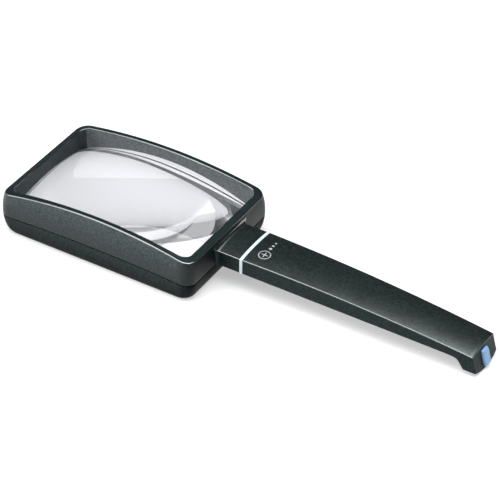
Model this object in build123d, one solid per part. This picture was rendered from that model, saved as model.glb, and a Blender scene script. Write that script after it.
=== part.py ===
"""Hand-held rectangular magnifying glass, resting on its frame and on the foot of its handle.

Millimetres, +Z up, +X along the handle from the lens towards the foot. The shapes are drawn from
the lens axis, and moved at the end so that the origin is the bottom centre of the whole object.
"""
from build123d import *
import math
import os

# ---- head: the frame round the lens ----
HEAD_LENGTH = 82.0          # over the bulge of the walls
HEAD_WIDTH = 53.6
HEAD_CORNER = 4.2           # plan radius of the outer corners
RIM_MIDDLE_Z = 20.8         # top of the arched rim above the lens axis
RIM_END_Z = 16.5            # top of the rim at its two short ends
RIM_CHAMFER = 0.4
OPENING_LENGTH = 75.0       # clear window above the lens
OPENING_WIDTH = 47.1
OPENING_CORNER = 3.4
LOWER_OPENING_LENGTH = 74.2
LOWER_OPENING_WIDTH = 46.3

# the outer wall is a barrel: (height, inset of the short ends, inset of the long sides) from the bulge
WALL_SECTIONS = [
    (0.0, 3.1, 2.3),
    (1.6, 1.25, 0.85),
    (4.6, 0.4, 0.25),
    (9.5, 0.0, 0.0),
    (13.0, 0.2, 0.25),
    (16.5, 0.75, 0.75),
    (21.2, 1.4, 1.1),
]

# ---- parting between the two halves of the frame ----
PARTING_END_Z = 7.5
PARTING_MIDDLE_Z = 8.9
REVEAL = 0.3                # shadow gap round the outside of the parting line
TONGUE_REACH = 1.8          # the upper half's inner tongue, outwards from the opening

# ---- lens ----
LENS_TOP_Z = 19.6
LENS_BOTTOM_Z = 1.2
LENS_TOP_RADIUS = 83.0      # vertex radius of the parabolic upper face
LENS_BOTTOM_RADIUS = 166.0
DOME_REACH = 52.0           # the parabola is drawn out past the lens's corners
DOME_STEPS = 12
FLANGE_REACH = 1.3          # the clamped edge, outwards from the opening
FLANGE_LOW_Z = 7.0
FLANGE_HIGH_Z = 7.8
LENS_CLEARANCE = 0.06

# ---- neck and ring ----
NECK_END_X = 50.3
NECK_HALF_WIDTH = 9.45
NECK_TOP_Z = 13.35          # at its long edges
NECK_BOTTOM_Z = 7.3
NECK_ROOT_HALF_WIDTH = 11.4
NECK_ROOT_DEPTH = 1.8       # how far the neck reaches into the wall
NECK_ROOT_RISE = 1.3        # where the neck's top runs up the wall
NECK_ROOT_LENGTH = 1.6
CROWN = 0.6                 # how much the middle of the neck and handle stands over the edges
RING_THICKNESS = 1.2
RING_PROUD = 0.15

# ---- tang: the neck's tongue inside the handle ----
TANG_END_X = 74.5
TANG_WIDTH = 11.0
TANG_LOW_Z = 9.0
TANG_HIGH_Z = 11.1
TANG_CLEARANCE = 0.1

# ---- handle ----
HANDLE_START_X = NECK_END_X + RING_THICKNESS
HANDLE_END_X = 143.4        # lower edge of the slanted end face, on the resting plane
HANDLE_TOP_END_X = 141.0    # upper edge of the end face
HANDLE_TOP_END_Z = 9.0
HANDLE_MID_HALF_WIDTH = 8.6
HANDLE_END_HALF_WIDTH = 7.8
TOP_ARC_RADIUS = 765.0      # the top of the handle droops on this radius
TOP_ARC_LEAD = 1.0          # degrees that the arc starts before the handle
TOP_ARC_SWEEP = 9.5
UNDERSIDE_END_Z = 5.65
FOOT_FRONT_X = 135.6        # where the underside would meet the front of the foot
FOOT_TOE_X = 139.1
FOOT_FRONT_FILLET = 3.6
FOOT_EDGE_FILLET = 0.9
FOOT_SIDE_Z = 1.5           # the sole is convex across: its sides stay this far above the table
HANDLE_WALL = 1.6
HANDLE_CHAMFER = 0.25
CAVITY_START_X = HANDLE_START_X + 1.5
CAVITY_END_X = 112.0

# ---- cover and screws ----
COVER_THICKNESS = 1.3
COVER_CLEARANCE = 0.1
SCREW_XS = (58.5, 69.0)
PEG_RADIUS = 1.9
PEG_SKIN = 0.5              # the pegs stop this far under the handle's top
SCREW_RADIUS = 1.1
SCREW_HEAD_RADIUS = 1.9
SCREW_HEAD_DEPTH = 1.1
SCREW_LENGTH = 4.6
SCREW_CROSS_LENGTH = 2.2
SCREW_CROSS_WIDTH = 0.5
SCREW_CROSS_DEPTH = 0.5

# ---- end tab ----
TAB_WIDTH = 3.8
TAB_TOP_Z = 7.0
TAB_BOTTOM_Z = 0.9
TAB_PROUD = 1.1
TAB_DEPTH = 1.2
TAB_CORNER = 0.5
TAB_CLEARANCE = 0.05
TAB_STEM_WIDTH = 2.2
TAB_STEM_DEPTH = 2.6
TAB_STEM_LOW_Z = 2.25
TAB_STEM_HIGH_Z = 5.1

FAR = 400.0                 # larger than the object, for cutting blocks


def prism(length, width, corner, low, high):
    """Upright block with a rounded rectangle for its plan, centred on the lens axis."""
    return Pos(0, 0, low) * extrude(RectangleRounded(length, width, corner), high - low)


def side_block(outline):
    """Block whose outline is drawn in X and Z, and which passes right through sideways."""
    return extrude(Plane.XZ * make_face(outline), FAR / 2, both=True)


def upright_rod(x, radius, low, high):
    return Pos(x, 0, (low + high) / 2) * Cylinder(radius, high - low)


def grown_opening(reach, low, high):
    return prism(OPENING_LENGTH + 2 * reach, OPENING_WIDTH + 2 * reach, OPENING_CORNER + reach, low, high)


# ------------------------------------------------------------------ head

def below_arch(middle_z, end_z):
    """Everything under an arch over the head, from middle_z down to end_z at both ends."""
    left = (-HEAD_LENGTH / 2, end_z)
    right = (HEAD_LENGTH / 2, end_z)
    arc = ThreePointArc(left, (0, middle_z), right)
    rest = Polyline(right, (FAR, end_z), (FAR, -FAR), (-FAR, -FAR), (-FAR, end_z), left)
    return side_block(arc + rest)


def below_parting():
    return below_arch(PARTING_MIDDLE_Z, PARTING_END_Z)


def opening():
    upper = grown_opening(0, FLANGE_LOW_Z, FAR)
    lower = prism(LOWER_OPENING_LENGTH, LOWER_OPENING_WIDTH, OPENING_CORNER, -FAR, FLANGE_LOW_Z)
    return upper + lower


def head_walls():
    """Barrel-shaped wall round the opening, under the arched rim, before it is split in two."""
    sections = []
    for height, end_inset, side_inset in WALL_SECTIONS:
        outline = RectangleRounded(HEAD_LENGTH - 2 * end_inset, HEAD_WIDTH - 2 * side_inset, HEAD_CORNER)
        sections.append(Pos(0, 0, height) * outline)
    walls = (loft(sections) & below_arch(RIM_MIDDLE_Z, RIM_END_Z)) - opening()
    rim_edges = [edge for edge in walls.edges() if edge.bounding_box().min.Z > PARTING_MIDDLE_Z + 3]
    return chamfer(rim_edges, RIM_CHAMFER)


def frame_halves():
    """The halves meet on an arched parting; the upper one's inner tongue presses on the lens flange."""
    flange_pocket = grown_opening(FLANGE_REACH + LENS_CLEARANCE, FLANGE_LOW_Z, FLANGE_HIGH_Z)
    walls = head_walls() - flange_pocket
    tongue_zone = grown_opening(TONGUE_REACH, FLANGE_HIGH_Z, PARTING_MIDDLE_Z + 1)
    below = below_parting() - tongue_zone
    gap = below_parting() - Pos(0, 0, -REVEAL) * below_parting()
    gap -= prism(HEAD_LENGTH - 4 * REVEAL, HEAD_WIDTH - 4 * REVEAL, HEAD_CORNER - REVEAL, -FAR, FAR)
    return walls - below, (walls & below) - gap


def crown_outline(half_width, edge_z, low_z):
    """Cross-section in Y and Z: flat below, gently crowned above."""
    left = (-half_width, edge_z)
    right = (half_width, edge_z)
    top = ThreePointArc(left, (0, edge_z + CROWN), right)
    return make_face(top + Polyline(right, (half_width, low_z), (-half_width, low_z), left))


def neck():
    """Short crowned bar that flares and runs up the wall where it leaves the head."""
    wall_x = HEAD_LENGTH / 2
    start = wall_x - NECK_ROOT_DEPTH
    root_end = wall_x + NECK_ROOT_LENGTH
    root_top = NECK_TOP_Z + NECK_ROOT_RISE
    bar = Plane.YZ.offset(start) * crown_outline(NECK_HALF_WIDTH, NECK_TOP_Z, NECK_BOTTOM_Z)
    half_plan = [(start, NECK_ROOT_HALF_WIDTH), (wall_x, NECK_ROOT_HALF_WIDTH), (root_end, NECK_HALF_WIDTH)]
    plan = half_plan + [(x, -y) for x, y in reversed(half_plan)]
    flare = Pos(0, 0, NECK_BOTTOM_Z) * extrude(make_face(Polyline(*plan, close=True)), FAR)
    slope = [(start, root_top), (wall_x - NECK_ROOT_LENGTH / 2, root_top), (root_end, NECK_TOP_Z)]
    slope += [(root_end, 0), (start, 0)]
    return extrude(bar, NECK_END_X - start) + (flare & side_block(Polyline(*slope, close=True)))


def tang():
    block = Box(TANG_END_X - NECK_END_X, TANG_WIDTH, TANG_HIGH_Z - TANG_LOW_Z)
    block = Pos((TANG_END_X + NECK_END_X) / 2, 0, (TANG_LOW_Z + TANG_HIGH_Z) / 2) * block
    for x in SCREW_XS:
        block -= upright_rod(x, PEG_RADIUS + TANG_CLEARANCE, 0, FAR)
    return block


def upper_frame():
    return frame_halves()[0] + (neck() - below_parting()) + tang()


def lower_frame():
    return frame_halves()[1]


def dome():
    """Solid under the lens's parabolic upper face."""
    radii = [DOME_REACH * step / DOME_STEPS for step in range(DOME_STEPS + 1)]
    points = [(r, LENS_TOP_Z - r ** 2 / (2 * LENS_TOP_RADIUS)) for r in radii]
    curve = Spline(points, tangents=((1, 0), (1, -DOME_REACH / LENS_TOP_RADIUS)))
    rest = Polyline(points[-1], (DOME_REACH, -FAR), (0, -FAR), points[0])
    return revolve(Plane.XZ * make_face(curve + rest), Axis.Z)


def lens():
    gap = 2 * LENS_CLEARANCE
    bowl = Pos(0, 0, LENS_BOTTOM_Z + LENS_BOTTOM_RADIUS) * Sphere(LENS_BOTTOM_RADIUS)
    upper = grown_opening(-LENS_CLEARANCE, FLANGE_LOW_Z, FAR / 4)
    lower = prism(LOWER_OPENING_LENGTH - gap, LOWER_OPENING_WIDTH - gap, OPENING_CORNER, 0, FLANGE_LOW_Z)
    flange = grown_opening(FLANGE_REACH, FLANGE_LOW_Z, FLANGE_HIGH_Z)
    return (upper & dome()) + (lower & bowl) + flange


# ------------------------------------------------------------------ handle

def tang_slot(length):
    slot = Box(length, TANG_WIDTH + 2 * TANG_CLEARANCE, TANG_HIGH_Z - TANG_LOW_Z + 2 * TANG_CLEARANCE)
    return Pos(HANDLE_START_X, 0, (TANG_LOW_Z + TANG_HIGH_Z) / 2) * slot


def accent_ring():
    outline = crown_outline(NECK_HALF_WIDTH + RING_PROUD, NECK_TOP_Z + RING_PROUD, NECK_BOTTOM_Z - RING_PROUD)
    return extrude(Plane.YZ.offset(NECK_END_X) * outline, RING_THICKNESS) - tang_slot(4 * RING_THICKNESS)


def handle_plan(inset, start_x, end_x):
    """Plan of the handle between two stations: it narrows towards the foot, less inset at its sides."""
    middle_x = (HANDLE_START_X + HANDLE_END_X) / 2
    near = NECK_HALF_WIDTH - inset
    middle = HANDLE_MID_HALF_WIDTH - inset
    far = HANDLE_END_HALF_WIDTH - inset
    left = ThreePointArc((HANDLE_START_X, near), (middle_x, middle), (HANDLE_END_X, far))
    right = ThreePointArc((HANDLE_END_X, -far), (middle_x, -middle), (HANDLE_START_X, -near))
    plan = make_face(left + Line(left @ 1, right @ 0) + right + Line(right @ 1, left @ 0))
    return plan & (Pos((start_x + end_x) / 2, 0) * Rectangle(end_x - start_x, FAR))


def below_top(drop, crown):
    """Everything under the handle's drooping top, lowered by drop and raised by crown at the middle."""
    half = 1.5 * NECK_HALF_WIDTH
    middle_z = NECK_TOP_Z - drop + crown
    side_z = middle_z - crown * (half / NECK_HALF_WIDTH) ** 2
    top = Line((-half, side_z), (half, side_z))
    if crown:
        top = ThreePointArc((-half, side_z), (0, middle_z), (half, side_z))
    rest = Polyline(top @ 1, (half, -FAR / 8), (-half, -FAR / 8), top @ 0)
    section = Plane.YZ.offset(HANDLE_START_X) * make_face(top + rest)
    axis = Axis((HANDLE_START_X, 0, NECK_TOP_Z - TOP_ARC_RADIUS), (0, 1, 0))
    return revolve(section.rotate(axis, -TOP_ARC_LEAD), axis, TOP_ARC_SWEEP)


def side_outline(raised=0.0):
    """Block with the handle's side view: underside, foot and slanted end, its underside raised."""
    front = (FOOT_FRONT_X, UNDERSIDE_END_Z + raised)
    toe = (FOOT_TOE_X, 0)
    corners = [(HANDLE_START_X, NECK_BOTTOM_Z + raised), front, toe, (HANDLE_END_X, 0)]
    corners += [(HANDLE_TOP_END_X, HANDLE_TOP_END_Z), (HANDLE_TOP_END_X, FAR), (HANDLE_START_X, FAR)]
    face = make_face(Polyline(*corners, close=True))
    face = fillet(face.vertices().sort_by_distance(front)[0], FOOT_FRONT_FILLET)
    face = fillet(face.vertices().sort_by_distance(toe)[0], FOOT_EDGE_FILLET)
    return extrude(Plane.XZ * face, FAR / 2, both=True)


def above_sole():
    """Everything over the foot's sole, which is convex across the handle."""
    radius = (HANDLE_END_HALF_WIDTH ** 2 + FOOT_SIDE_Z ** 2) / (2 * FOOT_SIDE_Z)
    roll = Pos(HANDLE_START_X, 0, radius) * Rot(0, 90, 0) * Cylinder(radius, FAR)
    return roll + Pos(HANDLE_START_X, 0, radius + FAR / 2) * Box(FAR, FAR / 4, FAR)


def end_block(width, low_z, high_z, depth_from, depth_to, corner=0.0):
    """Block square to the slanted end face, between two depths along the way out of it."""
    run = HANDLE_END_X - HANDLE_TOP_END_X
    rise = math.hypot(run, HANDLE_TOP_END_Z) / HANDLE_TOP_END_Z
    out = Vector(HANDLE_TOP_END_Z, 0, run).normalized()
    origin = Vector(HANDLE_END_X, 0, 0) + out * depth_from
    face_plane = Plane(origin, x_dir=Vector(-run, 0, HANDLE_TOP_END_Z), z_dir=out)
    height = (high_z - low_z) * rise
    outline = RectangleRounded(height, width, corner) if corner else Rectangle(height, width)
    outline = Pos((low_z + high_z) / 2 * rise, 0) * outline
    return extrude(face_plane * outline, depth_to - depth_from)


def tab_stem(clearance=0.0):
    low = TAB_STEM_LOW_Z - clearance
    high = TAB_STEM_HIGH_Z + clearance
    return end_block(TAB_STEM_WIDTH + 2 * clearance, low, high, -TAB_DEPTH - TAB_STEM_DEPTH - clearance, 0)


def tab_seat():
    """Recess in the foot for the tab, open at the end face and at the sole."""
    width = TAB_WIDTH + 2 * TAB_CLEARANCE
    recess = end_block(width, -TAB_WIDTH, TAB_TOP_Z + TAB_CLEARANCE, -TAB_DEPTH - TAB_CLEARANCE, TAB_WIDTH)
    return recess + tab_stem(TAB_CLEARANCE)


def cavity():
    inside = extrude(handle_plan(HANDLE_WALL, CAVITY_START_X, CAVITY_END_X), NECK_TOP_Z)
    return (inside & below_top(HANDLE_WALL, 0)) + tang_slot(2 * (CAVITY_START_X - HANDLE_START_X) + 2)


def handle_shell():
    body = extrude(handle_plan(0, HANDLE_START_X, HANDLE_END_X), NECK_TOP_Z + 2 * CROWN)
    body = body & below_top(0, CROWN) & side_outline() & above_sole()
    long_edges = [edge for edge in body.edges() if edge.length > 60 and edge.center().Z > TANG_LOW_Z]
    end_edges = [edge for edge in body.edges() if edge.bounding_box().min.X > FOOT_TOE_X]
    top_edges = [edge for edge in end_edges if edge.bounding_box().min.Z > TAB_TOP_Z]
    body = chamfer(long_edges + top_edges, HANDLE_CHAMFER) - cavity()
    for x in SCREW_XS:
        body += upright_rod(x, PEG_RADIUS, TANG_LOW_Z, NECK_TOP_Z) & below_top(PEG_SKIN, 0)
        body -= upright_rod(x, SCREW_RADIUS, NECK_BOTTOM_Z, NECK_BOTTOM_Z + SCREW_LENGTH + SCREW_CROSS_DEPTH)
    return body - tab_seat()


def screw_head(x, clearance):
    head = Cone(SCREW_HEAD_RADIUS + clearance, SCREW_RADIUS + clearance, SCREW_HEAD_DEPTH)
    return Pos(x, 0, NECK_BOTTOM_Z + SCREW_HEAD_DEPTH / 2) * head


def handle_cover():
    start_x = CAVITY_START_X + COVER_CLEARANCE
    plan = handle_plan(HANDLE_WALL + COVER_CLEARANCE, start_x, CAVITY_END_X - COVER_CLEARANCE)
    plate = (extrude(plan, NECK_TOP_Z) & side_outline()) - side_outline(COVER_THICKNESS)
    for x in SCREW_XS:
        plate -= upright_rod(x, SCREW_RADIUS + COVER_CLEARANCE, NECK_BOTTOM_Z, FAR)
        plate -= upright_rod(x, SCREW_HEAD_RADIUS + COVER_CLEARANCE, 0, NECK_BOTTOM_Z)
        plate -= screw_head(x, COVER_CLEARANCE)
    return plate


def handle_screws():
    shank_low = NECK_BOTTOM_Z + SCREW_HEAD_DEPTH
    shank_high = NECK_BOTTOM_Z + SCREW_LENGTH
    screws = []
    for x in SCREW_XS:
        screw = screw_head(x, 0) + upright_rod(x, SCREW_RADIUS, shank_low, shank_high)
        for angle in (0, 90):
            slot = Box(SCREW_CROSS_LENGTH, SCREW_CROSS_WIDTH, 2 * SCREW_CROSS_DEPTH)
            screw -= Pos(x, 0, NECK_BOTTOM_Z) * Rot(0, 0, angle) * slot
        screws.append(screw)
    return Compound(screws)


def end_tab():
    return end_block(TAB_WIDTH, TAB_BOTTOM_Z, TAB_TOP_Z, -TAB_DEPTH, TAB_PROUD, TAB_CORNER) + tab_stem()


nodes = {
    "upper_frame": upper_frame(),
    "lower_frame": lower_frame(),
    "lens": lens(),
    "accent_ring": accent_ring(),
    "handle_shell": handle_shell(),
    "handle_cover": handle_cover(),
    "handle_screws": handle_screws(),
    "end_tab": end_tab(),
}

os.makedirs("parts", exist_ok=True)
low_x = min(shape.bounding_box().min.X for shape in nodes.values())
high_x = max(shape.bounding_box().max.X for shape in nodes.values())
lens_axis_x = -(low_x + high_x) / 2
for name, shape in nodes.items():
    export_step(Pos(lens_axis_x, 0, 0) * shape, f"parts/{name}.step")
print("lens axis at x", round(lens_axis_x, 3), "overall length", round(high_x - low_x, 3))
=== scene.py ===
import math

import bpy
import numpy as np
from mathutils import Matrix, Vector


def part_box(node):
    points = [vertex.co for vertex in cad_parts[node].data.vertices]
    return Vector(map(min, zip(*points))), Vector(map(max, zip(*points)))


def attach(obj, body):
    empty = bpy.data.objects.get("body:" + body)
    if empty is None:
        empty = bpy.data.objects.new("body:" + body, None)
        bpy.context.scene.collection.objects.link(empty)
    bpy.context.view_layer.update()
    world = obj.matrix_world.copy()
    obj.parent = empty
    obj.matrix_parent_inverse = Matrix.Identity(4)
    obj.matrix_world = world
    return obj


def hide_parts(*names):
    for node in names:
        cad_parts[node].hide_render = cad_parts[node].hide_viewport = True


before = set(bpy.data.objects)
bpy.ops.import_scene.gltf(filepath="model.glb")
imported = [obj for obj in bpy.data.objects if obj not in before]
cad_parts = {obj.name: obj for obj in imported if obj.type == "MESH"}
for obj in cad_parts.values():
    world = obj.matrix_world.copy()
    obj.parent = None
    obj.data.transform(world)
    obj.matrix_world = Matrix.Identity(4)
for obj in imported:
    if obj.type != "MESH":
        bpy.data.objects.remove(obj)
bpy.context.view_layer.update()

MM = 0.001


# ---------------------------------------------------------------- sizes, in millimetres from the lens axis
# The CAD boxes give the places; heights are over the table.

def box_mm(node):
    low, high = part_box(node)
    return np.array(low) / MM, np.array(high) / MM


LENS_LOW, LENS_HIGH = box_mm("lens")
LENS_X = (LENS_LOW[0] + LENS_HIGH[0]) / 2
HEAD_LOW, HEAD_HIGH = box_mm("lower_frame")
RING_LOW, RING_HIGH = box_mm("accent_ring")
COVER_LOW, COVER_HIGH = box_mm("handle_cover")
RIM_TOP = box_mm("upper_frame")[1][2]

HEAD_HALF = (HEAD_HIGH[0] - HEAD_LOW[0]) / 2      # half length over the bulge of the walls
HEAD_HALF_WIDTH = (HEAD_HIGH[1] - HEAD_LOW[1]) / 2
HEAD_CORNER = 4.2
BULGE_Z = 9.5
FOOT_INSET_END = 3.1
FOOT_INSET_SIDE = 2.3
WINDOW_HALF = 37.5
WINDOW_HALF_WIDTH = 23.55
WINDOW_CORNER = 3.4
RIM_END_Z = 16.5
PARTING_MIDDLE_Z = HEAD_HIGH[2]
PARTING_END_Z = 7.5
FLANGE_LOW_Z = 7.0
FLANGE_HIGH_Z = 7.8
LEDGE = -0.4                                      # the lower window, relative to the upper one
NECK_END = RING_LOW[0] - LENS_X
HANDLE_START = RING_HIGH[0] - LENS_X
HANDLE_END = 143.4                                # lower edge of the end face, on the table
END_SLANT = 2.4 / 9.0                             # how far the end face leans back per unit up
NECK_HALF_WIDTH = 9.45
HANDLE_END_HALF_WIDTH = 7.8
NECK_TOP_Z = 13.35
NECK_LOW_Z = 7.3
CROWN = 0.6
TOP_ARC = 765.0
FOOT_FRONT = (135.6, 5.65)                        # where the underside would meet the front of the foot
FOOT_TOE_X = 139.1
SOLE_SIDE_Z = 1.5
MARK_X = 56.8                                     # centre of the printed pictogram's large ring
MARK_Y = -3.2
LENS_TOP_RADIUS = 83.0                            # vertex radius of the parabolic upper face
LENS_BOTTOM_RADIUS = 166.0
LENS_GAP = 0.06                                   # between the lens and the window's walls
FLANGE_REACH = 1.3                                # the lens's flange, past the window
POCKET_REACH = 1.36                               # the pocket that holds the flange
TONGUE_REACH = 1.8                                # the upper half's tongue, inside the lower half's rabbet
RABBET_REACH = 1.9
SEAT_GAP = 0.02                                   # between faces of the two halves that would touch


def arch(x, middle, end):
    """Height of a circular arch over the head."""
    drop = middle - end
    radius = (HEAD_HALF ** 2 + drop ** 2) / (2 * drop)
    return middle - radius + np.sqrt(radius ** 2 - np.minimum(np.abs(x), HEAD_HALF) ** 2)


def rim_z(x):
    return arch(x, RIM_TOP, RIM_END_Z)


def parting_z(x):
    return arch(x, PARTING_MIDDLE_Z, PARTING_END_Z)


def level(z):
    return lambda x: z + 0 * x


def between(low, high, t):
    """Height function that lies between two others."""
    return lambda x: low(x) + (high(x) - low(x)) * t


def shifted(base, amount):
    return lambda x: base(x) + amount


# ---------------------------------------------------------------- mesh helpers

def new_piece(name, vertices, faces, smooth_angle=35.0, bands=None):
    """Object from millimetre points round the lens axis, placed in the row frame.
    bands gives a material's number for each face, in the order of the faces."""
    points = np.asarray(vertices, float) + np.array([LENS_X, 0, 0])
    mesh = bpy.data.meshes.new(name)
    mesh.from_pydata((points * MM).tolist(), [], [list(face) for face in faces])
    if bands is not None:
        for polygon, number in zip(mesh.polygons, bands):
            polygon.material_index = number
    mesh.shade_smooth()
    mesh.set_sharp_from_angle(angle=math.radians(smooth_angle))
    piece = bpy.data.objects.new(name, mesh)
    bpy.context.scene.collection.objects.link(piece)
    weighted = piece.modifiers.new("flat faces stay flat", "WEIGHTED_NORMAL")
    weighted.keep_sharp = True
    return piece


def strip_faces(rings, count, closed_rings=False):
    """Quads between neighbouring closed loops of count points each."""
    faces = []
    spans = rings if closed_rings else rings - 1
    for ring in range(spans):
        a = ring * count
        b = ((ring + 1) % rings) * count
        for k in range(count):
            n = (k + 1) % count
            faces.append((a + k, a + n, b + n, b + k))
    return faces


def end_faces(rings, count):
    """Flat faces that close the first and the last of a row of loops."""
    last = (rings - 1) * count
    return [tuple(range(count))[::-1], tuple(range(last, last + count))]


def rounded_rectangle(half_x, half_y, corner, side_steps=36, end_steps=20, corner_steps=10):
    """Loop of (x, y) round the middle: its long sides run along x, its ends along y."""
    points = []
    for quarter in range(4):
        turn = quarter * math.pi / 2
        sign_x = 1 if quarter in (0, 3) else -1
        sign_y = 1 if quarter in (0, 1) else -1
        centre = np.array([sign_x * (half_x - corner), sign_y * (half_y - corner)])
        for step in range(corner_steps + 1):
            angle = turn + step / corner_steps * math.pi / 2
            points.append(centre + corner * np.array([math.cos(angle), math.sin(angle)]))
        along_side = quarter in (0, 2)
        steps = side_steps if along_side else end_steps
        run = 2 * (half_x - corner) if along_side else 2 * (half_y - corner)
        direction = np.array([[-1, 0], [0, -1], [1, 0], [0, 1]][quarter], float)
        start = points[-1]
        for step in range(1, steps):
            points.append(start + direction * run * step / steps)
    return np.array(points)


def window_ring(reach, height):
    """Loop round the window, pushed outwards by reach; height is a function of x."""
    flat = rounded_rectangle(WINDOW_HALF + reach, WINDOW_HALF_WIDTH + reach, WINDOW_CORNER + reach)
    return np.column_stack([flat, height(flat[:, 0])])


def wall_inset(z, foot_inset):
    """How far the barrel-shaped outer wall stands in from its bulge at a height."""
    rim_inset = 0.75
    flattening = 0.45                             # above the rim's ends the wall leans in less and less
    fullness = 2.2                                # more than 2 keeps the lower wall fuller than an ellipse
    down = np.clip((BULGE_Z - z) / BULGE_Z, 0, 1)
    up = np.maximum(z - BULGE_Z, 0) / (RIM_END_Z - BULGE_Z)
    below = foot_inset * (1 - np.sqrt(1 - down ** fullness))
    return below + rim_inset * up ** 2 / (1 + flattening * np.maximum(up ** 2 - 1, 0))


def wall_ring(height, inward=0.0):
    """Loop on the outer wall at a height that is a function of x, moved inwards."""
    flat = rounded_rectangle(HEAD_HALF, HEAD_HALF_WIDTH, HEAD_CORNER)
    x, y = flat[:, 0], flat[:, 1]
    z = height(x)
    share_x = np.clip(x / (HEAD_HALF - HEAD_CORNER), -1, 1)
    share_y = np.clip(y / (HEAD_HALF_WIDTH - HEAD_CORNER), -1, 1)
    x = x - (wall_inset(z, FOOT_INSET_END) + inward) * share_x
    y = y - (wall_inset(z, FOOT_INSET_SIDE) + inward) * share_y
    return np.column_stack([x, y, z])


# ---------------------------------------------------------------- head

OUTSIDE, EDGE, PAINTED_LIGHT_INSIDE, RIM = range(4)             # the frame's zones: one finish each; the inside's finish is painted lighter, a painted light
FAR_END = 1.5 - WINDOW_HALF                       # the inner face at the far end, which lies before this, has no painted light


def frame_ring(name, rings, zones):
    """Closed ring of the frame from loops that follow its wall section round.
    zones gives a material's number for the strip that starts at each loop;
    the inner faces are painted lighter, a painted light, except at the far end, which is as plain as the
    outside."""
    count = len(rings[0])
    bands = np.repeat(zones, count)
    x = np.concatenate([ring[:, 0] for ring in rings])
    bands[(bands == PAINTED_LIGHT_INSIDE) & (x < FAR_END)] = OUTSIDE
    return new_piece(name, np.vstack(rings), strip_faces(len(rings), count, closed_rings=True), bands=bands)


def upper_frame():
    """The hood: out over the parting, up the wall, over the arched rim, and down inside to the lens."""
    lip = 0.2
    parting_depth = 0.9
    rings = [wall_ring(parting_z, parting_depth), wall_ring(parting_z, lip)]
    rings.append(wall_ring(shifted(parting_z, lip * 0.3), lip * 0.3))
    zones = [RIM, OUTSIDE, OUTSIDE]
    low = shifted(parting_z, lip)
    edge = 0.42
    high = shifted(rim_z, -edge)
    steps = 20
    for step in range(steps + 1):
        rings.append(wall_ring(between(low, high, step / steps)))
    zones += [OUTSIDE] * steps + [EDGE]
    for angle in (22.5, 45, 67.5, 90):
        a = math.radians(angle)
        rings.append(wall_ring(shifted(rim_z, edge * (math.sin(a) - 1)), edge * (1 - math.cos(a))))
    zones += [EDGE] * 3 + [RIM]
    inner = 0.32
    for angle in (90, 60, 30, 0):
        a = math.radians(angle)
        rings.append(window_ring(inner * (1 - math.cos(a)), shifted(rim_z, inner * (math.sin(a) - 1))))
    zones += [EDGE] * 3 + [PAINTED_LIGHT_INSIDE]
    flange = level(FLANGE_HIGH_Z)
    for t in (0.8, 0.6, 0.4, 0.2, 0.0):
        rings.append(window_ring(0.0, between(flange, shifted(rim_z, -inner), t)))
    rings.append(window_ring(POCKET_REACH, flange))
    rings.append(window_ring(TONGUE_REACH, flange))
    rings.append(window_ring(TONGUE_REACH, parting_z))
    zones += [PAINTED_LIGHT_INSIDE] * 5 + [RIM] * 3
    return frame_ring("upper_frame_hood", rings, zones)


def lower_frame():
    """The bezel: out over the parting's groove, down the wall, and up inside to the lens's pocket."""
    groove = 0.34
    groove_depth = 0.8
    lip = 0.14
    seat = shifted(parting_z, -SEAT_GAP)
    rings = [window_ring(RABBET_REACH, seat), wall_ring(seat, groove_depth)]
    rings.append(wall_ring(shifted(parting_z, -groove), groove_depth))
    rings.append(wall_ring(shifted(parting_z, -groove), lip))
    rings.append(wall_ring(shifted(parting_z, -groove - lip * 0.3), lip * 0.3))
    zones = [RIM, RIM, RIM, OUTSIDE, OUTSIDE]
    high = shifted(parting_z, -groove - lip)
    steps = 20
    for step in range(steps + 1):
        s = math.sin(step / steps * math.pi / 2)
        rings.append(wall_ring(between(high, level(0.0), s)))
    zones += [OUTSIDE] * (steps + 1)
    rounding = ((0.27, 0.0), (0.07, 0.07), (0.0, 0.25))
    for reach, z in rounding:
        rings.append(window_ring(LEDGE + reach, level(z)))
    rings.append(window_ring(LEDGE, level(FLANGE_LOW_Z)))
    rings.append(window_ring(POCKET_REACH, level(FLANGE_LOW_Z)))
    rings.append(window_ring(POCKET_REACH, level(FLANGE_HIGH_Z - SEAT_GAP)))
    rings.append(window_ring(RABBET_REACH, level(FLANGE_HIGH_Z - SEAT_GAP)))
    zones += [RIM, RIM, PAINTED_LIGHT_INSIDE] + [RIM] * 4
    return frame_ring("lower_frame_bezel", rings, zones)


# ---------------------------------------------------------------- neck, ring and handle

TOP_STEPS = 20
SIDE_STEPS = 4
CORNER_ANGLES = (0, 22, 45, 67)
BAR_ROUNDING = 0.25                               # radius of the edges along the top of a bar
BAR_LOW_ROUNDING = 0.2
UNDER_STEPS = TOP_STEPS - 3
BAR_SIDE, BAR_EDGE, BAR_TOP = range(3)            # a bar's zones: one finish each
COVER_MARGIN = 1.6                                # from the handle's sides to the cover's opening
COVER_GAP = 0.1
COVER_START = COVER_LOW[0] - LENS_X - COVER_GAP
COVER_END = COVER_HIGH[0] - LENS_X + COVER_GAP
COVER_DEPTH = 1.45
STEP_RUN = 0.01                                   # half the run of a step in the surface
END_CUT = 0.1                                     # how far a bar's flat end is pulled in round its edge


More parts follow.
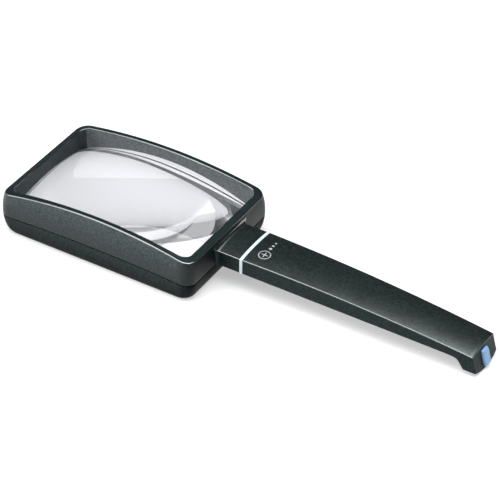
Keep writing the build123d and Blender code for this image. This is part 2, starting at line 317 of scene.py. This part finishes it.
def bar_section(half, edge_z, low):
    """Loop of (y, z): up the front side, over the crowned top, down the back side, and back below.
    low is the underside's height as a function of y; its inner points fit the cover's recess."""
    edge = BAR_ROUNDING
    low_edge = BAR_LOW_ROUNDING
    points = []
    front_low = low(-half)
    side_low = front_low + low_edge
    side = [side_low + (edge_z - edge - side_low) * k / SIDE_STEPS for k in range(1, SIDE_STEPS)]
    for step in range(3):
        a = math.radians(45 * step)
        points.append((-half + low_edge * (1 - math.sin(a)), front_low + low_edge * (1 - math.cos(a))))
    points += [(-half, z) for z in side]
    corner = []
    for angle in CORNER_ANGLES:
        a = math.radians(angle)
        corner.append((edge * (1 - math.cos(a)), edge_z - edge * (1 - math.sin(a))))
    points += [(-half + y, z) for y, z in corner]
    for step in range(TOP_STEPS + 1):
        y = (-1 + 2 * step / TOP_STEPS) * (half - edge)
        points.append((y, edge_z + CROWN * (1 - (y / (half - edge)) ** 2)))
    points += [(half - y, z) for y, z in reversed(corner)]
    points += [(half, z) for z in reversed(side)]
    for step in range(2, -1, -1):
        a = math.radians(45 * step)
        points.append((half - low_edge * (1 - math.sin(a)), front_low + low_edge * (1 - math.cos(a))))
    wall = half - COVER_MARGIN
    inner = np.linspace(wall - STEP_RUN, STEP_RUN - wall, UNDER_STEPS)
    for y in (wall + STEP_RUN, *inner, -wall - STEP_RUN):
        points.append((y, low(y)))
    return np.array(points)


def section_zones():
    """Zone of each strip along a bar, in the order of its section's points."""
    corner = [BAR_EDGE] * len(CORNER_ANGLES)
    side = [BAR_SIDE] * (2 + SIDE_STEPS)
    under = [BAR_SIDE] * (UNDER_STEPS + 3)
    return side + corner + [BAR_TOP] * TOP_STEPS + corner + side + under


def station(x, section):
    """Section placed at x, which is one number or one for each of its points."""
    return np.column_stack([np.broadcast_to(x, len(section)), section[:, 0], section[:, 1]])


def capped_bar(name, stations, edge_strips=()):
    """Solid from sections along X; the top of each of the edge_strips is an edge."""
    count = len(stations[0])
    faces = strip_faces(len(stations), count)
    zones = section_zones()
    bands = []
    for strip in range(len(stations) - 1):
        bands += [min(zone, BAR_EDGE) for zone in zones] if strip in edge_strips else zones
    bands += [BAR_SIDE, BAR_SIDE]
    return new_piece(name, np.vstack(stations), faces + end_faces(len(stations), count), bands=bands)


def shrunk(section, amount):
    """Loop pulled inwards by amount along its normals."""
    tangent = np.roll(section, -1, axis=0) - np.roll(section, 1, axis=0)
    normal = np.column_stack([tangent[:, 1], -tangent[:, 0]])
    normal /= np.linalg.norm(normal, axis=1)[:, None]
    return section + normal * amount


def neck():
    """Bar from inside the wall to the ring, flaring into the wall with a small fillet."""
    fillet = 1.5
    wall_x = HEAD_HALF - 0.3
    inside_wall = [wall_x - 1.5, wall_x - 0.6]
    stations = []
    xs = inside_wall + [wall_x + fillet * (1 - math.cos(math.radians(a))) for a in range(0, 91, 10)]
    xs += [NECK_END - 5, NECK_END - 2.5, NECK_END - 0.12]
    for x in xs:
        share = min(max((fillet - (x - wall_x)) / fillet, 0.0), 1.0)
        flare = fillet * (1 - math.sqrt(1 - share ** 2))
        section = bar_section(NECK_HALF_WIDTH + flare, NECK_TOP_Z + flare, level(NECK_LOW_Z))
        stations.append(station(x, section))
    end = bar_section(NECK_HALF_WIDTH, NECK_TOP_Z, level(NECK_LOW_Z))
    stations.append(station(NECK_END, shrunk(end, END_CUT)))
    first_bright = len(inside_wall) + 1
    return capped_bar("upper_frame_neck", stations, edge_strips=range(first_bright, first_bright + 4))


def accent_ring():
    """Pale band that stands a little proud of the neck and the handle, with rounded edges."""
    proud = 0.13
    section = bar_section(NECK_HALF_WIDTH + proud, NECK_TOP_Z + proud, level(NECK_LOW_Z - proud))
    rounding = ((0.0, 0.14), (0.04, 0.05), (0.14, 0.0))
    first = [station(NECK_END + run, shrunk(section, inward)) for run, inward in rounding]
    middle = station((NECK_END + HANDLE_START) / 2, section)
    last = [station(HANDLE_START - run, shrunk(section, inward)) for run, inward in reversed(rounding)]
    return capped_bar("accent_ring_band", [*first, middle, *last])


def handle_half_width(x):
    t = (x - HANDLE_START) / (HANDLE_END - HANDLE_START)
    return NECK_HALF_WIDTH + (HANDLE_END_HALF_WIDTH - NECK_HALF_WIDTH) * t


def handle_edge_z(x):
    run = x - HANDLE_START
    return NECK_TOP_Z - TOP_ARC + math.sqrt(TOP_ARC ** 2 - run ** 2)


def handle_low_z(x):
    """Underside: a straight taper, a hollow fillet, then the steep front of the foot."""
    slope = (FOOT_FRONT[1] - NECK_LOW_Z) / (FOOT_FRONT[0] - HANDLE_START)
    line = NECK_LOW_Z + slope * (x - HANDLE_START)
    steep = FOOT_FRONT[1] * (FOOT_TOE_X - x) / (FOOT_TOE_X - FOOT_FRONT[0])
    fillet = 2.0
    return (line + steep - math.sqrt((line - steep) ** 2 + fillet)) / 2


def sole_z(y):
    """Height of the foot's sole, which is convex across the handle."""
    radius = (HANDLE_END_HALF_WIDTH ** 2 + SOLE_SIDE_Z ** 2) / (2 * SOLE_SIDE_Z)
    return radius - math.sqrt(radius ** 2 - min(abs(y), HANDLE_END_HALF_WIDTH) ** 2)


def soft_max(a, b, blend):
    """The larger of two heights, rounded where they cross."""
    return (a + b + math.sqrt((a - b) ** 2 + blend ** 2)) / 2


def handle_underside(x):
    """Height as a function of y at a place along the handle: the taper, the foot and the cover's recess."""
    taper = handle_low_z(x)
    recess = handle_half_width(x) - COVER_MARGIN if COVER_START < x < COVER_END else 0
    blend = 0.35
    lowered = 0.02

    def height(y):
        depth = COVER_DEPTH if abs(y) < recess else 0
        return soft_max(taper, sole_z(y), blend) - lowered + depth

    return height


def handle_shell():
    """Drooping bar with a foot: upright sections, then sections that lean more and more to the end face."""
    stations = []
    start = bar_section(NECK_HALF_WIDTH, NECK_TOP_Z, level(NECK_LOW_Z))
    stations.append(station(HANDLE_START, shrunk(start, END_CUT)))
    foot_x = 132.0
    last_upright_x = 140.1
    end_x = 141.7
    xs = [*np.linspace(HANDLE_START + 0.12, foot_x - 0.5, 40), *np.linspace(foot_x, last_upright_x, 30)]
    for end in (COVER_START, COVER_END):
        xs += [end - STEP_RUN, end + STEP_RUN]
    for x in sorted(xs):
        section = bar_section(handle_half_width(x), handle_edge_z(x), handle_underside(x))
        section[:, 1] = np.maximum(section[:, 1], 0.0)
        stations.append(station(x, section))
    edge = 0.26
    ends = [(share, 0.0, 0.0) for share in (0.2, 0.4, 0.6, 0.8, 0.92)]
    rounding = (*CORNER_ANGLES, 90)
    for angle in rounding:
        a = math.radians(angle)
        ends.append((1.0, edge * (1 - math.sin(a)), edge * (1 - math.cos(a))))
    for share, back, inward in ends:
        x = last_upright_x + share * (end_x - last_upright_x)
        section = shrunk(bar_section(handle_half_width(x), handle_edge_z(x), sole_z), inward)
        leaned = HANDLE_END - section[:, 1] * END_SLANT - back
        stations.append(station(last_upright_x + share * (leaned - last_upright_x), section))
    last = len(stations) - 1
    return capped_bar("handle_shell_body", stations, edge_strips=range(last - len(rounding) + 1, last))


def printed_mark():
    """Small printed pictogram by the ring: a lens with a plus in it, and three dots in a row."""
    vertices = []
    faces = []
    sunk, raised = -0.05, 0.03

    def add(outline, hole=None):
        """Thin raised area inside an outline of (x, y), with an optional hole of as many points."""
        loops = [outline, outline] + ([hole, hole] if hole else [])
        lifts = [sunk, raised, raised, sunk][:len(loops)]
        first = len(vertices)
        for loop, lift in zip(loops, lifts):
            for x, y in loop:
                z = handle_edge_z(x) + CROWN * (1 - (y / (handle_half_width(x) - BAR_ROUNDING)) ** 2)
                vertices.append((x, y, z + lift))
        count = len(outline)
        faces.extend([tuple(first + k for k in face) for face in strip_faces(len(loops), count)])
        if not hole:
            faces.append(tuple(range(first + count, first + 2 * count)))

    def circle(x, y, radius, steps=36):
        turns = np.linspace(0, 2 * math.pi, steps, endpoint=False)
        return [(x + radius * math.cos(a), y + radius * math.sin(a)) for a in turns]

    x, y = MARK_X, MARK_Y
    lens_outer, lens_inner = 2.3, 1.95
    add(circle(x, y, lens_outer), circle(x, y, lens_inner))
    arm, half = 1.2, 0.2
    quarter = [(half, -half), (arm, -half), (arm, half)]
    cross = []
    for _ in range(4):
        cross += quarter
        quarter = [(-dy, dx) for dx, dy in quarter]
    add([(x + dx, y + dy) for dx, dy in cross])
    first_dot, pitch = 4.0, 1.9
    for step, radius in enumerate((0.6, 0.5, 0.4)):
        add(circle(x, y + first_dot + pitch * step, radius, 24))
    return new_piece("handle_print", vertices, faces)


def end_face_point(across, up, out):
    """Point on the slanted end face: across it, up along the vertical, and out of it."""
    lean = math.hypot(1, END_SLANT)
    return (HANDLE_END - up * END_SLANT + out / lean, across, up + out * END_SLANT / lean)


def end_tab():
    """Inlaid tab with a broad bevel round its face. Each loop has its half width, its lower and
    upper end, the radius of its corners, and how far it stands out of the end face."""
    root = (1.9, 0.9, 7.0, 0.5, -1.0)
    shoulder = (1.9, 0.9, 7.0, 0.5, 0.55)
    bevel_start = (1.82, 0.98, 6.92, 0.5, 0.68)
    bevel_end = (1.6, 1.2, 6.2, 0.4, 1.05)
    face = (1.5, 1.3, 6.05, 0.35, 1.1)
    loops = []
    for half, low, high, corner, out in (root, shoulder, bevel_start, bevel_end, face):
        flat = rounded_rectangle(half, (high - low) / 2, corner, 8, 8, 6)
        middle = (high + low) / 2
        loops.append([end_face_point(across, middle + up, out) for across, up in flat])
    count = len(loops[0])
    faces = strip_faces(len(loops), count) + end_faces(len(loops), count)
    return new_piece("end_tab_block", np.vstack(loops), faces, smooth_angle=30.0)


# ---------------------------------------------------------------- lens

def lens_body():
    """Thick lens: a parabolic face above, a flatter spherical one below, and a clamped flange."""
    steps = 48

    def face_ring(reach, share, height):
        flat = window_ring(reach, level(0.0))[:, :2] * share
        return np.column_stack([flat, height((flat ** 2).sum(1))])

    def top(r2):
        return LENS_HIGH[2] - r2 / (2 * LENS_TOP_RADIUS)

    def bottom(r2):
        return LENS_LOW[2] + LENS_BOTTOM_RADIUS - np.sqrt(LENS_BOTTOM_RADIUS ** 2 - r2)

    rings = [face_ring(-LENS_GAP, step / steps, top) for step in range(1, steps + 1)]
    rings.append(window_ring(-LENS_GAP, level(FLANGE_HIGH_Z)))
    rings.append(window_ring(FLANGE_REACH, level(FLANGE_HIGH_Z)))
    rings.append(window_ring(FLANGE_REACH, level(FLANGE_LOW_Z)))
    rings.append(window_ring(LEDGE - LENS_GAP, level(FLANGE_LOW_Z)))
    rings += [face_ring(LEDGE - LENS_GAP, step / steps, bottom) for step in range(steps, 0, -1)]
    count = len(rings[0])
    faces = [face[::-1] for face in strip_faces(len(rings), count)]
    frosted = range(steps - 1, steps + 4)
    bands = np.repeat([ring in frosted for ring in range(len(rings) - 1)], count).astype(int).tolist()
    last = (len(rings) - 1) * count
    top_point = len(rings) * count
    low_point = top_point + 1
    for k in range(count):
        n = (k + 1) % count
        faces.append((k, n, top_point))
        faces.append((last + n, last + k, low_point))
        bands += [0, 0]
    vertices = np.vstack([*rings, [(0, 0, LENS_HIGH[2]), (0, 0, LENS_LOW[2])]])
    return new_piece("lens_body", vertices, faces, bands=bands)


# ---------------------------------------------------------------- materials

def node_material(name):
    """New material, with its node tree and its shader."""
    material = bpy.data.materials.new(name)
    material.use_nodes = True
    shader = material.node_tree.nodes["Principled BSDF"]
    return material, material.node_tree, shader


def noise(tree, coordinates, scale, detail, roughness=0.5):
    node = tree.nodes.new("ShaderNodeTexNoise")
    node.inputs["Scale"].default_value = scale
    node.inputs["Detail"].default_value = detail
    node.inputs["Roughness"].default_value = roughness
    tree.links.new(coordinates, node.inputs["Vector"])
    return node.outputs["Fac"]


def ramp(tree, factor, low, high, start=0.3, end=0.7):
    """Colour that goes from low to high while the factor goes from start to end."""
    node = tree.nodes.new("ShaderNodeValToRGB")
    for element, place, colour in zip(node.color_ramp.elements, (start, end), (low, high)):
        element.position = place
        element.color = (*colour, 1.0)
    tree.links.new(factor, node.inputs["Fac"])
    return node.outputs["Color"]


def grey(value):
    return (value, value, value)


def object_coordinates(tree):
    return tree.nodes.new("ShaderNodeTexCoord").outputs["Object"]


def bump(tree, shader, height, strength, distance):
    node = tree.nodes.new("ShaderNodeBump")
    node.inputs["Strength"].default_value = strength
    node.inputs["Distance"].default_value = distance
    tree.links.new(height, node.inputs["Height"])
    tree.links.new(node.outputs["Normal"], shader.inputs["Normal"])


def fade(tree, coordinates, colour, axis, start, end, share, last_share):
    """The colour times a share, which goes from share to last_share between two places on an axis."""
    split = tree.nodes.new("ShaderNodeSeparateXYZ")
    tree.links.new(coordinates, split.inputs[0])
    spread = tree.nodes.new("ShaderNodeMapRange")
    spread.inputs["From Min"].default_value = start
    spread.inputs["From Max"].default_value = end
    spread.inputs["To Min"].default_value = share
    spread.inputs["To Max"].default_value = last_share
    tree.links.new(split.outputs[axis], spread.inputs["Value"])
    product = tree.nodes.new("ShaderNodeMixRGB")
    product.blend_type = "MULTIPLY"
    product.inputs["Fac"].default_value = 1.0
    tree.links.new(colour, product.inputs["Color1"])
    tree.links.new(spread.outputs["Result"], product.inputs["Color2"])
    return product.outputs["Color"]


def black_plastic(name, colours, roughness, specular, grain=0.8, grain_scale=2600.0,
                  tint=(0.7, 1.0, 0.97), coat_weight=0.0, coat_roughness=0.0, fades=()):
    """Moulded black plastic: mottled colour, fine eroded grain and uneven gloss.
    colours and roughness are each a low and a high; fades holds what fade() takes from its axis on."""
    material, tree, shader = node_material(name)
    shader.inputs["Specular IOR Level"].default_value = specular
    shader.inputs["Specular Tint"].default_value = (*tint, 1)
    shader.inputs["Coat Weight"].default_value = coat_weight
    shader.inputs["Coat Roughness"].default_value = coat_roughness
    shader.inputs["Coat IOR"].default_value = 2.0
    coordinates = object_coordinates(tree)
    mottle = noise(tree, coordinates, scale=1500.0, detail=3.0, roughness=0.6)
    colour = ramp(tree, mottle, *colours, start=0.4, end=0.62)
    for settings in fades:
        colour = fade(tree, coordinates, colour, *settings)
    tree.links.new(colour, shader.inputs["Base Color"])
    gloss = noise(tree, coordinates, scale=120.0, detail=3.0)
    tree.links.new(ramp(tree, gloss, *map(grey, roughness)), shader.inputs["Roughness"])
    pits = noise(tree, coordinates, scale=grain_scale, detail=3.0, roughness=0.65)
    bump(tree, shader, pits, strength=grain, distance=0.06 * MM)
    return material


def satin_plastic(name, colours, roughness):
    """Smooth coloured plastic: a faint cloud in its colour and its gloss."""
    material, tree, shader = node_material(name)
    coordinates = object_coordinates(tree)
    cloud = noise(tree, coordinates, scale=700.0, detail=3.0)
    tree.links.new(ramp(tree, cloud, *colours), shader.inputs["Base Color"])
    sheen = noise(tree, coordinates, scale=1500.0, detail=2.0)
    tree.links.new(ramp(tree, sheen, *map(grey, roughness)), shader.inputs["Roughness"])
    bump(tree, shader, sheen, strength=0.15, distance=0.02 * MM)
    return material


def clear_lens():
    """Acrylic: bends light for the eye and lets lamps through to what lies under it."""
    material, tree, shader = node_material("lens_acrylic")
    # The grey in the base colour is painted shade: it dims the floor seen through the lens.
    shader.inputs["Base Color"].default_value = (0.72, 0.722, 0.74, 1)
    shader.inputs["Transmission Weight"].default_value = 1.0
    shader.inputs["IOR"].default_value = 1.49
    shader.inputs["Specular IOR Level"].default_value = 1.0
    smudge = noise(tree, object_coordinates(tree), scale=60.0, detail=4.0)
    smeared = ramp(tree, smudge, grey(0.0), grey(0.025), start=0.45, end=0.8)
    tree.links.new(smeared, shader.inputs["Roughness"])
    path = tree.nodes.new("ShaderNodeLightPath")
    clear = tree.nodes.new("ShaderNodeBsdfTransparent")
    clear.inputs["Color"].default_value = (0.93, 0.935, 0.95, 1)
    either = tree.nodes.new("ShaderNodeMath")
    either.operation = "MAXIMUM"
    tree.links.new(path.outputs["Is Shadow Ray"], either.inputs[0])
    tree.links.new(path.outputs["Is Diffuse Ray"], either.inputs[1])
    mix = tree.nodes.new("ShaderNodeMixShader")
    tree.links.new(either.outputs[0], mix.inputs["Fac"])
    tree.links.new(shader.outputs["BSDF"], mix.inputs[1])
    tree.links.new(clear.outputs["BSDF"], mix.inputs[2])
    tree.links.new(mix.outputs["Shader"], tree.nodes["Material Output"].inputs["Surface"])
    return material


def moulded_lens_edge():
    """The lens's side and flange: left matte by the mould, so they look pale."""
    material, tree, shader = node_material("lens_edge")
    frost = noise(tree, object_coordinates(tree), scale=300.0, detail=3.0)
    tree.links.new(ramp(tree, frost, grey(0.93), grey(0.97)), shader.inputs["Base Color"])
    shader.inputs["Roughness"].default_value = 0.6
    return material


def screw_steel():
    """Zinc-plated steel with a fine uneven surface."""
    material, tree, shader = node_material("screw_steel")
    shader.inputs["Metallic"].default_value = 1.0
    brushed = noise(tree, object_coordinates(tree), scale=2500.0, detail=3.0)
    tree.links.new(ramp(tree, brushed, grey(0.25), grey(0.5)), shader.inputs["Base Color"])
    tree.links.new(ramp(tree, brushed, grey(0.25), grey(0.45)), shader.inputs["Roughness"])
    return material


def paint(piece, *materials):
    """Give a piece these materials in place of any it has."""
    piece.data.materials.clear()
    for material in materials:
        piece.data.materials.append(material)


# ---------------------------------------------------------------- stage, in metres

VIEW_AZIMUTH = 30.75                              # degrees
VIEW_ELEVATION = 37.62
VIEW_ROLL = 1.0
VIEW_DISTANCE = 0.9073
VIEW_AIM = Vector((LENS_X + 41.81, 11.94, 0)) * MM


def floor():
    """Pale paper on a light table: its faint glow keeps the shadows light."""
    half = 40.0
    z = -0.05 * MM                                # a hair under the object
    corners = [(-half, -half, z), (half, -half, z), (half, half, z), (-half, half, z)]
    mesh = bpy.data.meshes.new("floor")
    mesh.from_pydata(corners, [], [(0, 1, 2, 3)])
    plane = bpy.data.objects.new("floor", mesh)
    bpy.context.scene.collection.objects.link(plane)
    material, tree, shader = node_material("floor_paper")
    speck = noise(tree, object_coordinates(tree), scale=40.0, detail=3.0)
    tree.links.new(ramp(tree, speck, grey(0.47), grey(0.50)), shader.inputs["Base Color"])
    shader.inputs["Roughness"].default_value = 0.9
    shader.inputs["Specular IOR Level"].default_value = 0.1
    shader.inputs["Emission Color"].default_value = (1, 1, 1, 1)
    shader.inputs["Emission Strength"].default_value = 0.45
    mesh.materials.append(material)


def camera():
    """The viewpoint, from its azimuth, elevation, roll, distance and aim."""
    azimuth, elevation, roll = (math.radians(a) for a in (VIEW_AZIMUTH, VIEW_ELEVATION, VIEW_ROLL))
    back = Vector((
        math.sin(azimuth) * math.cos(elevation),
        -math.cos(azimuth) * math.cos(elevation),
        math.sin(elevation),
    ))
    sideways = (-back).cross(Vector((0, 0, 1))).normalized()
    up = sideways.cross(-back)
    right = math.cos(roll) * sideways + math.sin(roll) * up
    upward = math.cos(roll) * up - math.sin(roll) * sideways
    data = bpy.data.cameras.new("camera")
    data.lens = 181.8
    data.sensor_width = 36.0
    eye = bpy.data.objects.new("camera", data)
    rotation = Matrix((right, upward, back)).transposed().to_4x4()
    eye.matrix_world = Matrix.Translation(VIEW_AIM + back * VIEW_DISTANCE) @ rotation
    bpy.context.scene.collection.objects.link(eye)
    bpy.context.scene.camera = eye


def soft_box(name, place, aim, turn, width, depth, power):
    """Rectangular lamp facing aim, turned about its own axis."""
    data = bpy.data.lights.new(name, "AREA")
    data.shape = "RECTANGLE"
    data.size = width
    data.size_y = depth
    data.energy = power
    lamp = bpy.data.objects.new(name, data)
    facing = (Vector(place) - Vector(aim)).normalized().to_track_quat("Z", "Y").to_matrix().to_4x4()
    lamp.matrix_world = Matrix.Translation(place) @ facing @ Matrix.Rotation(math.radians(turn), 4, "Z")
    bpy.context.scene.collection.objects.link(lamp)


def studio():
    """A broad softbox overhead, a panel in front, a weak one at the far end, and dim surroundings."""
    world = bpy.data.worlds.new("studio")
    bpy.context.scene.world = world
    world.use_nodes = True
    background = world.node_tree.nodes["Background"]
    background.inputs["Color"].default_value = (0.92, 0.97, 1.0, 1)
    background.inputs["Strength"].default_value = 0.05
    bpy.context.scene.view_settings.view_transform = "Standard"
    azimuth = math.radians(VIEW_AZIMUTH)
    towards_viewer = Vector((math.sin(azimuth), -math.cos(azimuth), 0))
    centre = Vector((LENS_X * MM, 0, 0))
    above = centre + towards_viewer * 0.08 + Vector((0, 0, 1))
    below = above - Vector((0, 0, 1))
    soft_box("overhead softbox", above, below, turn=VIEW_AZIMUTH, width=1.5, depth=1.05, power=24.0)
    left = centre + Vector((-0.96, -0.96, 0.63))
    soft_box("left panel", left, centre, turn=0, width=1.3, depth=0.8, power=17.0)
    far = centre + Vector((-1.3, -0.15, 0.75))
    soft_box("side panel", far, centre, turn=0, width=0.9, depth=0.9, power=1.6)


# ---------------------------------------------------------------- putting it together

def fit(piece, materials, slot, *nodes):
    """Paint a piece, let it ride on the object and stand for its CAD nodes.
    Painting resets the faces' material numbers, so they are set again after it."""
    numbers = [polygon.material_index for polygon in piece.data.polygons]
    paint(piece, *materials)
    for polygon, number in zip(piece.data.polygons, numbers):
        polygon.material_index = min(number, len(materials) - 1)
    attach(piece, "root")
    if nodes:
        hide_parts(*nodes)


camera()
studio()
floor()

BLACK = ((0.002, 0.005, 0.005), (0.009, 0.016, 0.016))
# Painted shade: the wall that faces the handle is painted darker than the others, and the change runs round
# the corners.
painted_neck_shade = ("X", (HEAD_HIGH[0] - 6.5) * MM, (HEAD_HIGH[0] - 0.6) * MM, 1.0, 0.1)
# The outer wall's colour is lighter than the rim's black, a painted sheen, and is painted darker towards
# the table, a painted shade.
wall = black_plastic("frame_wall", ((0.022, 0.029, 0.031), (0.056, 0.066, 0.071)), (0.38, 0.48),
                     specular=0.3, tint=(0.85, 1.0, 1.0),
                     fades=(("Z", 7 * MM, 18 * MM, 0.22, 1.0), painted_neck_shade))
edge = black_plastic("moulded_edge", BLACK, (0.12, 0.2), specular=1.0, grain=0.1,
                     tint=(0.85, 1.0, 0.98), coat_weight=1.0, coat_roughness=0.1)
# The inner faces are painted lighter than the black plastic outside: painted light.
painted_light_inside = black_plastic("hood_inside_painted_light", ((0.075, 0.082, 0.085), (0.135, 0.143, 0.15)), (0.5, 0.6),
                       specular=0.5, tint=(0.9, 1.0, 1.0))
rim = black_plastic("frame_rim", BLACK, (0.4, 0.5), specular=0.2, grain=0.5)
# The lower half's wall is a darker copy of the upper wall, a painted shade, and is painted darker still
# towards the table and by the neck.
painted_shade_low_wall = black_plastic("base_wall_painted_shade", ((0.012, 0.018, 0.018), (0.034, 0.047, 0.045)), (0.38, 0.48),
                         specular=0.05, fades=(("Z", 1 * MM, 8 * MM, 0.1, 1.0), painted_neck_shade))
side = black_plastic("handle_side", (BLACK[0], (0.012, 0.019, 0.019)), (0.3, 0.4), specular=0.15)
top = black_plastic("handle_top", ((0.0, 0.001, 0.001), (0.01, 0.017, 0.017)), (0.23, 0.29),
                    specular=0.7, grain=0.6, grain_scale=2200.0, tint=(0.8, 1.0, 0.98),
                    coat_weight=0.45, coat_roughness=0.28)
ring_pale = satin_plastic("ring_pale", ((0.50, 0.62, 0.66), (0.58, 0.70, 0.74)), (0.29, 0.41))
tab_blue = satin_plastic("tab_blue", ((0.19, 0.36, 0.61), (0.24, 0.42, 0.69)), (0.29, 0.41))
print_grey = satin_plastic("print_grey", ((0.24, 0.26, 0.26), (0.34, 0.36, 0.36)), (0.44, 0.56))

fit(upper_frame(), [wall, edge, painted_light_inside, rim], "frame_plastic", "upper_frame")
fit(neck(), [side, edge, top], "frame_plastic")
fit(lower_frame(), [painted_shade_low_wall, edge, painted_light_inside, rim], "frame_plastic", "lower_frame")
fit(lens_body(), [clear_lens(), moulded_lens_edge()], "lens_clear", "lens")
fit(accent_ring(), [ring_pale], "ring_plastic", "accent_ring")
fit(handle_shell(), [side, edge, top], "handle_plastic", "handle_shell")
fit(printed_mark(), [print_grey], "handle_plastic")
fit(end_tab(), [tab_blue], "tab_plastic", "end_tab")
for node, material in (("handle_cover", side), ("handle_screws", screw_steel())):
    paint(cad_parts[node], material)
